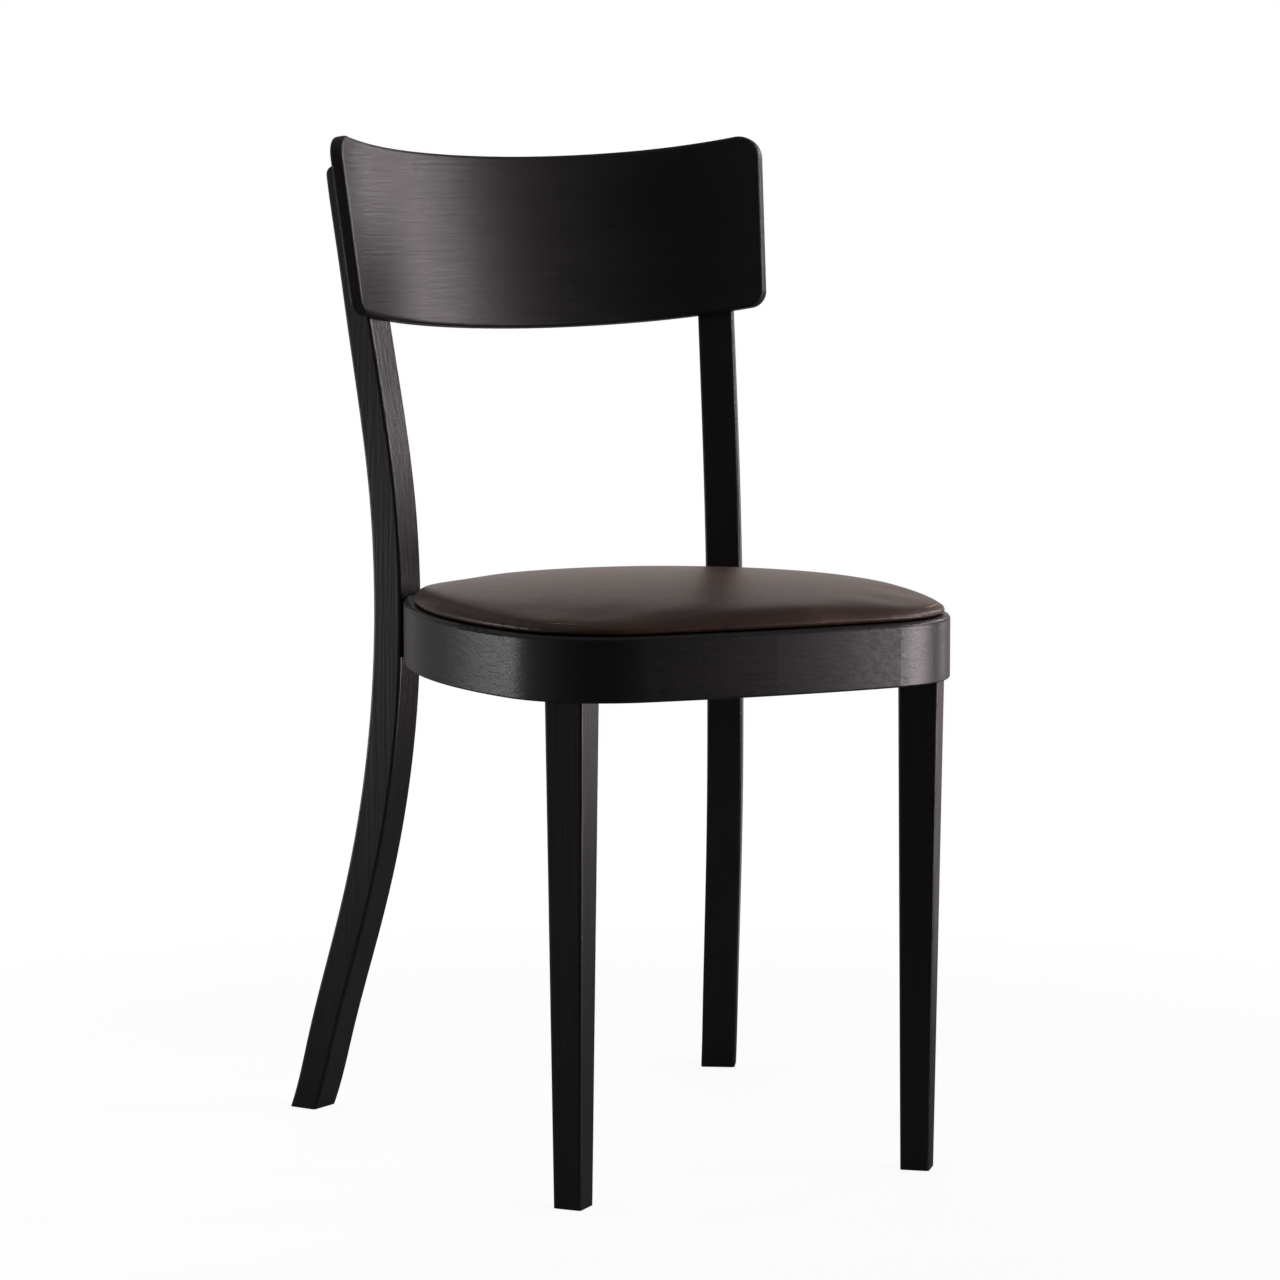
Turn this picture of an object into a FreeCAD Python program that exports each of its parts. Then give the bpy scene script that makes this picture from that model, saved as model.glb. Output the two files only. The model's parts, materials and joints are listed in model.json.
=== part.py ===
import FreeCAD, Part
import math
import os
from FreeCAD import Vector

# Bentwood bistro chair, sizes in millimetres.
# The origin is on the floor, midway between the left and right sides.
# +Z is up, the front of the chair faces -Y and the sitter's back leans towards +Y.

# Seat ring: one bent beech strip in a closed D with four arcs and four corners
RING_BOTTOM = 388.0
RING_HEIGHT = 50.0
RING_THICKNESS = 30.0
RING_FRONT = 188.0
RING_REAR = 218.0
RING_HALF_WIDTH = 198.5
RING_WIDEST_BEHIND_FRONT = 166.0
RING_FRONT_BOW = 1020.0
RING_SIDE_BOW = 440.0
RING_REAR_BOW = 600.0
RING_FRONT_CORNER = 92.0
RING_REAR_CORNER = 50.0
RING_TOP_ROUND = 4.0
RING_LOWER_ROUND = 1.5

# Front legs: square, tapered, turned to the ring's front corners
FRONT_LEG_X = 150.6
FRONT_LEG_Y = 141.5
FRONT_LEG_TURN = 50.5
FRONT_LEG_TOP = 31.7
FRONT_LEG_FOOT = 23.2
FRONT_LEG_LEAN_OUT = 0.9
FRONT_TENON_DIAMETER = 20.0
FRONT_TENON_LENGTH = 36.0

# Rear legs: straight, bent at the seat and straight again, in a plane turned outwards
REAR_FOOT_X = 185.2
REAR_FOOT_Y = 273.5
REAR_LEG_HEIGHT = 786.0
REAR_LEG_WIDTH = 29.4
REAR_DEPTH_FOOT = 26.0
REAR_DEPTH_LOWER = 28.4
REAR_DEPTH_TOP = 21.6
REAR_DEPTH_LOWER_AT = 230.0
REAR_BEND_PLANE_TURN = 21.1
REAR_SECTION_TURN = 30.9
REAR_INWARD_LEAN = 0.87
REAR_LOWER_SWEEP = 19.3
REAR_UPPER_SWEEP = 13.2
REAR_BEND_RADIUS = 740.0
REAR_BEND_HEIGHT = 372.0
REAR_SECTIONS = 13

LEG_EDGE_ROUND = 2.5
LEG_TOP_ROUND = 7.0

# Backrest: moulded panel, bent round an axis that leans back
BACK_THICKNESS = 11.2
BACK_HEIGHT = 147.0
BACK_BELOW_LEG_TOP = 63.0
BACK_BEHIND_LEG_FRONT = 40.4
BACK_LEAN = 14.8
BACK_MIDDLE_RADIUS = 300.0
BACK_MIDDLE_HALF_ANGLE = 19.3
BACK_END_RADIUS = 205.0
BACK_HALF_ARC_TOP = 214.0
BACK_HALF_ARC_BOTTOM = 201.0
BACK_TOP_CORNER = 20.0
BACK_LOWER_CORNER = 14.0
BACK_EDGE_ROUND = 3.0

# Seat pad: plywood board, foam and a leather cover, set in a little from the ring
PAD_INSET = 2.7
PAD_SIDE_BOW = 368.0
PAD_REAR_CORNER = 60.0
PAD_REAR_INSET = 14.0
PAD_REAR_BOW = 420.0
PAD_TOP = 463.3
PAD_CROWN_RADIUS = 1600.0
PAD_SHOULDER = 8.0
PAD_LOWER_ROUND = 2.0
COVER_THICKNESS = 1.2
COVER_HEM_WIDTH = 36.0
BOARD_THICKNESS = 6.5
BOARD_INSET = 5.0
DUST_COVER_THICKNESS = 0.5
DUST_COVER_INSET = 12.0
LAYER_GAP = 0.1

# Staples through the dust cover and the hem into the board
STAPLE_CROWN = 10.0
STAPLE_WIRE = 1.1
STAPLE_LEG = 7.0
STAPLE_FROM_RING = 4.5
STAPLE_FRONT_ANGLES = (1.2, 3.6)
STAPLE_REAR_ANGLES = (-1.5, -4.5)
STAPLE_SIDE_ANGLES = (-4.0, 1.5, 7.0, 12.5)

# Corner blocks inside the ring at the four legs
BLOCK_HEIGHT = 34.0
BLOCK_DEPTH = 24.0
BLOCK_GAP = 0.1
BLOCK_SCREW_SPREAD = 29.0
BLOCK_SCREW_LENGTH = 42.0
BLOCK_SCREW_SHANK = 4.0
BLOCK_SCREW_HEAD = 8.0
BLOCK_SCREW_HEAD_HEIGHT = 2.6

# Drive recess of the wood screws: span and width of the cross, and depth
CROSS_SPAN = 4.6
CROSS_SLOT = 1.1
CROSS_DEPTH = 1.8

SEAT_SCREW_SHANK = 4.5
SEAT_SCREW_HEAD = 9.0
SEAT_SCREW_HEAD_HEIGHT = 3.0
SEAT_SCREW_COUNTERBORE = 10.0
SEAT_SCREW_INTO_BOARD = 5.0
SEAT_SCREW_FROM_RING = 12.0
REAR_SEAT_SCREW_ASIDE = 20.0

# Rear leg bolts: block, ring and leg
BOLT_DIAMETER = 6.0
BOLT_HEAD = 11.0
BOLT_HEAD_HEIGHT = 3.4
BOLT_SOCKET = 4.0
BOLT_SOCKET_DEPTH = 2.2
BOLT_SPACING = 24.0
BOLT_INTO_LEG = 12.0
WASHER_DIAMETER = 14.0
WASHER_THICKNESS = 1.2
INSERT_DIAMETER = 10.0
INSERT_LENGTH = 13.0

# Backrest screws, with plugs that close the bores at the back of the legs
BACK_SCREW_SHANK = 4.5
BACK_SCREW_HEAD = 9.0
BACK_SCREW_HEAD_HEIGHT = 3.0
BACK_SCREW_SPACING = 76.0
BACK_SCREW_INTO_PANEL = 7.5
BACK_SCREW_WALL = 9.0
PLUG_DIAMETER = 10.0
PLUG_LENGTH = 6.0

# Clearances: round a fastener or a housing, and between pieces that lie on each other
FIT_GAP = 0.15
SEAT_GAP = 0.1

# A length past a face for shapes that cut through it, the width of a match, and search steps
OVERRUN = 1.0
NEAR = 0.01
BISECTIONS = 40

# Least cosine of the angle between two directions that count as one, and most at a sharp edge
ALONG = 0.9
ACROSS = 0.7

RING_TOP = RING_BOTTOM + RING_HEIGHT
SIDES = {"left": -1, "right": 1}
UP = Vector(0, 0, 1)


# Small geometry helpers

def turned(angle, side):
    """Level direction turned from the rear (+Y) towards one side by an angle."""
    rad = math.radians(angle)
    return Vector(side * math.sin(rad), math.cos(rad), 0)


def turned_flat(angle):
    """Level direction at an angle from +X towards +Y."""
    rad = math.radians(angle)
    return Vector(math.cos(rad), math.sin(rad), 0)


def placed(shape, origin, x_way):
    """Shape moved to an origin with its X axis along a level direction."""
    y_way = UP.cross(x_way)
    shape.transformShape(FreeCAD.Matrix(x_way.x, y_way.x, 0, origin.x, x_way.y, y_way.y, 0, origin.y,
                                        0, 0, 1, origin.z, 0, 0, 0, 1))
    return shape


def rod(base, direction, diameter, length):
    return Part.makeCylinder(diameter / 2, length, base, direction)


def hexagon(across):
    """Corners of a hexagon as pairs, from its width across the flats."""
    reach = across / math.sqrt(3)
    angles = [math.radians(60 * i) for i in range(6)]
    return [(reach * math.cos(angle), reach * math.sin(angle)) for angle in angles]


def cross(span, slot):
    """Corners of a plus sign as pairs, from its span and the width of its slots."""
    a, b = span / 2, slot / 2
    return [(a, b), (b, b), (b, a), (-b, a), (-b, b), (-a, b),
            (-a, -b), (-b, -b), (-b, -a), (b, -a), (b, -b), (a, -b)]


def recess(mouth, way, corners, depth):
    """Prism that sinks a drive recess into a head, from its face along a direction."""
    aside = UP if abs(way.z) < ALONG else Vector(1, 0, 0)
    u = aside.cross(way).normalize()
    v = way.cross(u)
    points = [mouth + u * a + v * b for a, b in corners]
    return Part.Face(Part.makePolygon(points + points[:1])).extrude(way * depth)


def corner_centre(centre_a, radius_a, centre_b, radius_b, corner, outward):
    """Centre of a corner arc that touches two larger arcs from the inside."""
    reach_a = radius_a - corner
    reach_b = radius_b - corner
    span = centre_b - centre_a
    along = (reach_a ** 2 - reach_b ** 2 + span.Length ** 2) / (2 * span.Length)
    across = math.sqrt(reach_a ** 2 - along ** 2)
    unit = span / span.Length
    foot = centre_a + unit * along
    offsets = [UP.cross(unit) * across, UP.cross(unit) * -across]
    return max((foot + off for off in offsets), key=lambda point: point.dot(outward))


def touch(centre, corner):
    """Unit direction from a large arc's centre through a corner arc's centre."""
    away = corner - centre
    return away / away.Length


class Outline:
    """Plan of the ring or of the pad: front, side and rear arcs with four corner arcs."""

    def __init__(self, front, rear, half_width, widest, bows, corners):
        self.front_bow, self.side_bow, self.rear_bow = bows
        self.front_corner, self.rear_corner = corners
        self.front_centre = Vector(0, self.front_bow - front, 0)
        self.rear_centre = Vector(0, rear - self.rear_bow, 0)
        self.side_centre = Vector(half_width - self.side_bow, widest, 0)
        self.front_corner_centre = corner_centre(
            self.front_centre, self.front_bow, self.side_centre, self.side_bow,
            self.front_corner, Vector(1, -1, 0))
        self.rear_corner_centre = corner_centre(
            self.rear_centre, self.rear_bow, self.side_centre, self.side_bow,
            self.rear_corner, Vector(1, 1, 0))

    def wire(self, inset, z):
        """Closed outline, moved in by an inset, at one height."""
        front_touch = touch(self.front_centre, self.front_corner_centre)
        side_touch_front = touch(self.side_centre, self.front_corner_centre)
        side_touch_rear = touch(self.side_centre, self.rear_corner_centre)
        rear_touch = touch(self.rear_centre, self.rear_corner_centre)
        ends = [
            (self.front_centre, self.front_bow, Vector(0, -1, 0), front_touch),
            (self.front_corner_centre, self.front_corner, front_touch, side_touch_front),
            (self.side_centre, self.side_bow, side_touch_front, side_touch_rear),
            (self.rear_corner_centre, self.rear_corner, side_touch_rear, rear_touch),
            (self.rear_centre, self.rear_bow, rear_touch, Vector(0, 1, 0)),
        ]
        edges = []
        for side in (1, -1):
            for centre, radius, start, end in ends:
                middle = start + end
                middle = middle / middle.Length
                points = []
                for way in (start, middle, end):
                    point = centre + way * (radius - inset)
                    points.append(Vector(side * point.x, point.y, z))
                edges.append(Part.Arc(*points).toShape())
        return Part.Wire(Part.__sortEdges__(edges))

    def prism(self, inset, bottom, top):
        face = Part.Face(self.wire(inset, bottom))
        return face.extrude(Vector(0, 0, top - bottom))


def edges_where(shape, test):
    return [edge for edge in shape.Edges if test(edge)]


def level_edges(shape, z):
    """Edges that lie in one level plane."""
    return edges_where(shape, lambda e: max(abs(e.BoundBox.ZMin - z), abs(e.BoundBox.ZMax - z)) < NEAR)


def rising_edges(shape, height):
    """Edges that rise over more than half of a height."""
    return edges_where(shape, lambda e: e.BoundBox.ZLength > height / 2)


def is_sharp(shape, edge):
    """Whether the two faces at an edge meet at a corner and not smoothly."""
    middle = edge.valueAt((edge.FirstParameter + edge.LastParameter) / 2)
    faces = shape.ancestorsOfType(edge, Part.Face)
    first, second = [face.normalAt(*face.Surface.parameter(middle)) for face in faces[:2]]
    return abs(first.dot(second)) < ACROSS


RING_WIDEST_Y = RING_WIDEST_BEHIND_FRONT - RING_FRONT
RING = Outline(RING_FRONT, RING_REAR, RING_HALF_WIDTH, RING_WIDEST_Y,
               (RING_FRONT_BOW, RING_SIDE_BOW, RING_REAR_BOW),
               (RING_FRONT_CORNER, RING_REAR_CORNER))
PAD = Outline(RING_FRONT - PAD_INSET, RING_REAR - PAD_REAR_INSET, RING_HALF_WIDTH - PAD_INSET,
              RING_WIDEST_Y, (RING_FRONT_BOW - PAD_INSET, PAD_SIDE_BOW, PAD_REAR_BOW),
              (RING_FRONT_CORNER - PAD_INSET, PAD_REAR_CORNER))

# Heights of the layers of the pad, from the ring's top face upwards
DUST_COVER_BOTTOM = RING_TOP + LAYER_GAP
HEM_BOTTOM = DUST_COVER_BOTTOM + DUST_COVER_THICKNESS + LAYER_GAP
BOARD_BOTTOM = HEM_BOTTOM + COVER_THICKNESS + LAYER_GAP
BOARD_TOP = BOARD_BOTTOM + BOARD_THICKNESS
FOAM_BOTTOM = BOARD_TOP + LAYER_GAP


# Front legs

def front_leg_axes(side):
    """Outward and tangent directions of one front leg's square section."""
    rad = math.radians(FRONT_LEG_TURN)
    outward = Vector(side * math.sin(rad), -math.cos(rad), 0)
    return outward, UP.cross(outward)


def front_leg_centre(side, z):
    outward = front_leg_axes(side)[0]
    top = Vector(side * FRONT_LEG_X, -FRONT_LEG_Y, 0)
    share = 1 - z / RING_BOTTOM
    return top - outward * (FRONT_LEG_LEAN_OUT * share) + UP * z


def front_leg_section(side, z, size):
    outward, tangent = front_leg_axes(side)
    centre = front_leg_centre(side, z)
    half = size / 2
    corners = [centre + outward * (a * half) + tangent * (b * half)
               for a, b in ((1, 1), (1, -1), (-1, -1), (-1, 1))]
    return Part.makePolygon(corners + corners[:1])


def front_tenon(side, gap):
    base = front_leg_centre(side, RING_BOTTOM)
    return rod(base, UP, FRONT_TENON_DIAMETER + 2 * gap, FRONT_TENON_LENGTH + gap)


def front_leg(side):
    sections = [front_leg_section(side, 0, FRONT_LEG_FOOT),
                front_leg_section(side, RING_BOTTOM, FRONT_LEG_TOP)]
    leg = Part.makeLoft(sections, True, True)
    leg = leg.makeFillet(LEG_EDGE_ROUND, rising_edges(leg, RING_BOTTOM))
    return leg.fuse(front_tenon(side, 0)).removeSplitter()


# Rear legs

def rear_bend_offset(z):
    """How far back the front face stands at a height, against its foot."""
    lower = math.radians(REAR_LOWER_SWEEP)
    upper = math.radians(REAR_UPPER_SWEEP)
    reach = REAR_BEND_RADIUS * math.tan((lower + upper) / 2)
    start = REAR_BEND_HEIGHT - reach * math.cos(lower)
    end = REAR_BEND_HEIGHT + reach * math.cos(upper)
    if z <= start:
        return -z * math.tan(lower)
    if z >= end:
        return -REAR_BEND_HEIGHT * math.tan(lower) + (z - REAR_BEND_HEIGHT) * math.tan(upper)
    arc_z = start + REAR_BEND_RADIUS * math.sin(lower)
    arc_u = -start * math.tan(lower) + REAR_BEND_RADIUS * math.cos(lower)
    return arc_u - math.sqrt(REAR_BEND_RADIUS ** 2 - (z - arc_z) ** 2)


def rear_depth(z):
    """Depth of the section: a parabola through the foot, the lower leg and the top."""
    a, b = REAR_DEPTH_LOWER_AT, REAR_LEG_HEIGHT
    foot = REAR_DEPTH_FOOT * (z - a) * (z - b) / (a * b)
    lower = REAR_DEPTH_LOWER * z * (z - b) / (a * (a - b))
    top = REAR_DEPTH_TOP * z * (z - a) / (b * (b - a))
    return foot + lower + top


def rear_leg_axes(side):
    """Backward and outward directions of one rear leg's section."""
    backward = turned(REAR_SECTION_TURN, side)
    outward = Vector(side * backward.y, -side * backward.x, 0)
    return backward, outward


def rear_leg_front(side, z):
    """Middle of the front face at a height."""
    bend_way = turned(REAR_BEND_PLANE_TURN, side)
    bend_out = Vector(side * bend_way.y, -side * bend_way.x, 0)
    foot = Vector(side * REAR_FOOT_X, REAR_FOOT_Y, z)
    inward = math.tan(math.radians(REAR_INWARD_LEAN)) * z
    return foot + bend_way * rear_bend_offset(z) - bend_out * inward


def rear_leg_middle(side, z):
    return rear_leg_front(side, z) + rear_leg_axes(side)[0] * (rear_depth(z) / 2)


def rear_leg_section(side, z):
    """Rectangle of the leg at a height, before its edges are rounded."""
    backward, outward = rear_leg_axes(side)
    front = rear_leg_front(side, z)
    half = REAR_LEG_WIDTH / 2
    depth = rear_depth(z)
    corners = [front + outward * half, front + outward * half + backward * depth,
               front - outward * half + backward * depth, front - outward * half]
    return Part.makePolygon(corners + corners[:1])


def rear_leg_blank(side):
    last = REAR_SECTIONS - 1
    sections = [rear_leg_section(side, REAR_LEG_HEIGHT * i / last) for i in range(REAR_SECTIONS)]
    leg = Part.makeLoft(sections, True, False)
    outward = rear_leg_axes(side)[1]
    top = [edge for edge in level_edges(leg, REAR_LEG_HEIGHT)
           if abs(edge.tangentAt(edge.FirstParameter).dot(outward)) > ALONG]
    leg = leg.makeFillet(LEG_TOP_ROUND, top)
    return leg.makeFillet(LEG_EDGE_ROUND, rising_edges(leg, REAR_LEG_HEIGHT))


def bolt_way(side):
    """Level direction of the rear leg bolts: from the ring's corner centre to the leg."""
    centre = RING.rear_corner_centre
    middle = rear_leg_middle(side, (RING_BOTTOM + RING_TOP) / 2)
    way = Vector(middle.x - side * centre.x, middle.y - centre.y, 0)
    return way / way.Length


def ring_corner_point(side, z, inset):
    """Point on the ring's rear corner where the bolts cross an inset of its outer face."""
    centre = RING.rear_corner_centre
    start = Vector(side * centre.x, centre.y, z)
    return start + bolt_way(side) * (RING_REAR_CORNER - inset)


def bolt_heights():
    middle = (RING_BOTTOM + RING_TOP) / 2
    return [middle - BOLT_SPACING / 2, middle + BOLT_SPACING / 2]


def bolt_start(side, z):
    """Where the washer bears on the inner face of the corner block."""
    return ring_corner_point(side, z, RING_THICKNESS + BLOCK_DEPTH)


# Backrest

def back_axes():
    """Upward and forward directions of the leaning panel."""
    rad = math.radians(BACK_LEAN)
    return (Vector(0, math.sin(rad), math.cos(rad)), Vector(0, -math.cos(rad), math.sin(rad)))


def back_centre():
    """Middle of the panel's front face, behind the fronts of the legs near their tops."""
    height = REAR_LEG_HEIGHT - BACK_BELOW_LEG_TOP
    return Vector(0, rear_leg_front(1, height).y + BACK_BEHIND_LEG_FRONT, height)


BACK_CENTRE = back_centre()


def back_point(arc, depth, rise):
    """Point at an arc length from the middle, a depth behind the front face and a rise."""
    upward, forward = back_axes()
    side = -1 if arc < 0 else 1
    arc = abs(arc)
    half = math.radians(BACK_MIDDLE_HALF_ANGLE)
    middle_arc = BACK_MIDDLE_RADIUS * half
    if arc <= middle_arc:
        angle = arc / BACK_MIDDLE_RADIUS
        across = BACK_MIDDLE_RADIUS * math.sin(angle)
        ahead = BACK_MIDDLE_RADIUS * (1 - math.cos(angle))
    else:
        angle = half + (arc - middle_arc) / BACK_END_RADIUS
        step = BACK_MIDDLE_RADIUS - BACK_END_RADIUS
        across = step * math.sin(half) + BACK_END_RADIUS * math.sin(angle)
        ahead = BACK_MIDDLE_RADIUS - step * math.cos(half) - BACK_END_RADIUS * math.cos(angle)
    across += depth * math.sin(angle)
    ahead -= depth * math.cos(angle)
    return BACK_CENTRE + upward * rise + Vector(side * across, 0, 0) + forward * ahead


def back_normal(arc):
    """Direction out of the back of the panel at an arc length."""
    way = back_point(arc, BACK_THICKNESS, 0) - back_point(arc, 0, 0)
    return way / way.Length


def back_section(half_arc, front_depth, back_depth, rise):
    """Closed section of the panel across its height, at one rise."""
    middle = math.radians(BACK_MIDDLE_HALF_ANGLE) * BACK_MIDDLE_RADIUS
    stops = [(-half_arc, -middle), (-middle, middle), (middle, half_arc)]
    edges = []
    for depth in (front_depth, back_depth):
        for start, end in stops:
            points = [back_point(arc, depth, rise) for arc in (start, (start + end) / 2, end)]
            edges.append(Part.Arc(*points).toShape())
    for arc in (-half_arc, half_arc):
        ends = [back_point(arc, depth, rise) for depth in (front_depth, back_depth)]
        edges.append(Part.makeLine(*ends))
    return Part.Wire(Part.__sortEdges__(edges))


def back_panel_blank(front_depth, back_depth, margin, gap):
    """Panel between its lower and upper sections, with a margin at its ends and a gap at both edges."""
    rise = BACK_HEIGHT / 2 + gap
    lower = back_section(BACK_HALF_ARC_BOTTOM + margin, front_depth, back_depth, -rise)
    upper = back_section(BACK_HALF_ARC_TOP + margin, front_depth, back_depth, rise)
    return Part.makeLoft([lower, upper], True, True)


def backrest_panel():
    """Panel with rounded corners and edges, rounded about the origin and then put in place."""
    panel = back_panel_blank(0, BACK_THICKNESS, 0, 0)
    panel.translate(BACK_CENTRE * -1)
    for rise, arc, radius in ((BACK_HEIGHT / 2, BACK_HALF_ARC_TOP, BACK_TOP_CORNER),
                              (-BACK_HEIGHT / 2, BACK_HALF_ARC_BOTTOM, BACK_LOWER_CORNER)):
        for side in (-1, 1):
            corner = back_point(side * arc, BACK_THICKNESS / 2, rise) - BACK_CENTRE
            near = edges_where(panel, lambda e: e.CenterOfMass.distanceToPoint(corner) < OVERRUN)
            panel = panel.makeFillet(radius, near)
    panel = panel.makeFillet(BACK_EDGE_ROUND, edges_where(panel, lambda e: is_sharp(panel, e)))
    panel.translate(BACK_CENTRE)
    return panel


def back_screw_arc(side, rise):
    """Arc length at which the middle of the leg meets the panel at a rise."""
    low, high = 0.0, BACK_HALF_ARC_BOTTOM
    for _ in range(BISECTIONS):
        arc = (low + high) / 2
        point = back_point(side * arc, BACK_THICKNESS, rise)
        if abs(point.x) < abs(rear_leg_front(side, point.z).x):
            low = arc
        else:
            high = arc
    return side * (low + high) / 2


def back_screw_places():
    """Start point on the panel's back face and outward direction of each screw."""
    places = []
    for side in SIDES.values():
        for rise in (-BACK_SCREW_SPACING / 2, BACK_SCREW_SPACING / 2):
            arc = back_screw_arc(side, rise)
            places.append((back_point(arc, BACK_THICKNESS, rise), back_normal(arc), side))
    return places


def back_screw(place, gap):
    """Screw from the bore's shoulder in the leg into the panel, larger by a gap."""
    start, way, side = place
    shoulder = start + way * BACK_SCREW_WALL
    length = BACK_SCREW_WALL + BACK_SCREW_INTO_PANEL
    shank = rod(shoulder, way * -1, BACK_SCREW_SHANK + 2 * gap, length + gap)
    head = rod(shoulder, way, BACK_SCREW_HEAD + 2 * gap, BACK_SCREW_HEAD_HEIGHT)
    return shank.fuse(head).removeSplitter()


def back_screw_bore(place):
    """Bore for the head and the plug, open at the back of the leg."""
    start, way, side = place
    return rod(start + way * BACK_SCREW_WALL, way, PLUG_DIAMETER + 2 * FIT_GAP, REAR_LEG_WIDTH)


def back_screw_plug(place):
    """Plug over the screw head, cut level with the back of the leg."""
    start, way, side = place
    base = start + way * (BACK_SCREW_WALL + BACK_SCREW_HEAD_HEIGHT + SEAT_GAP)
    long_plug = rod(base, way, PLUG_DIAMETER, REAR_LEG_WIDTH)
    return long_plug.common(rear_leg_blank(side))


def rear_leg(side):
    """Leg with the housings for the ring and the panel and the bores of its fasteners."""
    leg = rear_leg_blank(side)
    leg = leg.cut(RING.prism(-FIT_GAP, RING_BOTTOM - FIT_GAP, RING_TOP + FIT_GAP))
    leg = leg.cut(back_panel_blank(-2 * BACK_THICKNESS, BACK_THICKNESS + FIT_GAP, BACK_THICKNESS, FIT_GAP))
    for z in bolt_heights():
        start = ring_corner_point(side, z, 0)
        leg = leg.cut(rod(start - bolt_way(side) * OVERRUN, bolt_way(side), INSERT_DIAMETER + 2 * SEAT_GAP,
                          INSERT_LENGTH + 2 * FIT_GAP + OVERRUN))
    for place in back_screw_places():
        if place[2] == side:
            leg = leg.cut(back_screw(place, FIT_GAP)).cut(back_screw_bore(place))
    return max(leg.Solids, key=lambda solid: solid.Volume)


# Rear leg fasteners

def rear_leg_bolts():
    bolts = []
    for side in SIDES.values():
        for z in bolt_heights():
            seat = bolt_start(side, z) - bolt_way(side) * WASHER_THICKNESS
            length = WASHER_THICKNESS + BLOCK_DEPTH + RING_THICKNESS + BOLT_INTO_LEG
            shank = rod(seat, bolt_way(side), BOLT_DIAMETER, length)
            head = rod(seat, bolt_way(side) * -1, BOLT_HEAD, BOLT_HEAD_HEIGHT)
            mouth = seat - bolt_way(side) * BOLT_HEAD_HEIGHT
            socket = recess(mouth, bolt_way(side), hexagon(BOLT_SOCKET), BOLT_SOCKET_DEPTH)
            bolts.append(head.fuse(shank).removeSplitter().cut(socket))
    return Part.makeCompound(bolts)


def rear_leg_washers():
    washers = []
    for side in SIDES.values():
        for z in bolt_heights():
            seat = bolt_start(side, z) - bolt_way(side) * WASHER_THICKNESS
            disc = rod(seat, bolt_way(side), WASHER_DIAMETER, WASHER_THICKNESS)
            bore = rod(seat, bolt_way(side), BOLT_DIAMETER + 2 * FIT_GAP, WASHER_THICKNESS)
            washers.append(disc.cut(bore))
    return Part.makeCompound(washers)


def rear_leg_inserts():
    inserts = []
    for side in SIDES.values():
        for z in bolt_heights():
            start = ring_corner_point(side, z, 0) + bolt_way(side) * FIT_GAP
            sleeve = rod(start, bolt_way(side), INSERT_DIAMETER, INSERT_LENGTH)
            bore = rod(start, bolt_way(side), BOLT_DIAMETER + 2 * SEAT_GAP, INSERT_LENGTH)
            inserts.append(sleeve.cut(bore))
    return Part.makeCompound(inserts)


# Corner blocks

def block_way(side, at_rear):
    """Level direction from the inside of the ring into one corner."""
    if at_rear:
        return bolt_way(side)
    way = front_leg_centre(side, 0) - Vector(side * RING.front_corner_centre.x,
                                             RING.front_corner_centre.y, 0)
    way.z = 0
    return way / way.Length


def block_seat(side, at_rear, z):
    """Point on the ring's inner face that the block fills out to, in the block's middle."""
    if at_rear:
        return ring_corner_point(side, z, RING_THICKNESS)
    centre = RING.front_corner_centre
    reach = RING_FRONT_CORNER - RING_THICKNESS
    return Vector(side * centre.x, centre.y, z) + block_way(side, False) * reach


def seat_screw_place(side, at_rear):
    aside = REAR_SEAT_SCREW_ASIDE if at_rear else 0
    way = block_way(side, at_rear)
    forwards = UP.cross(way) * -side
    base = block_seat(side, at_rear, RING_TOP - BLOCK_HEIGHT)
    return base - way * SEAT_SCREW_FROM_RING + forwards * aside


def corner_block(side, at_rear):
    """Block that fills one corner of the ring, flat towards the inside."""
    bottom = RING_TOP - BLOCK_HEIGHT
    way = block_way(side, at_rear)
    inner = RING.prism(RING_THICKNESS + BLOCK_GAP, bottom, RING_TOP)
    start = block_seat(side, at_rear, bottom) - way * BLOCK_DEPTH
    reach = RING_HALF_WIDTH
    corner = placed(Part.makeBox(reach, 2 * reach, BLOCK_HEIGHT, Vector(0, -reach, 0)), start, way)
    block = inner.common(corner)
    if at_rear:
        for z in bolt_heights():
            start = bolt_start(side, z) - way * OVERRUN
            block = block.cut(rod(start, way, BOLT_DIAMETER + 2 * FIT_GAP, 2 * BLOCK_DEPTH))
    for screw in block_screws(side, at_rear, FIT_GAP):
        block = block.cut(screw)
    block = block.cut(seat_screw(side, at_rear, FIT_GAP))
    return block.cut(seat_screw_bore(side, at_rear))


def block_screws(side, at_rear, gap):
    """Screws that hold a front block to the ring, one on each side of the leg."""
    if at_rear:
        return []
    way = block_way(side, at_rear)
    screws = []
    for hand in (-1, 1):
        z = RING_TOP - BLOCK_HEIGHT / 2
        start = block_seat(side, at_rear, z) - way * BLOCK_DEPTH
        start = start + UP.cross(way) * (hand * BLOCK_SCREW_SPREAD)
        length = BLOCK_SCREW_LENGTH - BLOCK_SCREW_HEAD_HEIGHT
        shank = rod(start, way, BLOCK_SCREW_SHANK + 2 * gap, length + gap)
        head = rod(start, way * -1, BLOCK_SCREW_HEAD, BLOCK_SCREW_HEAD_HEIGHT)
        screws.append(shank.fuse(head).removeSplitter())
    return screws


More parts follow.
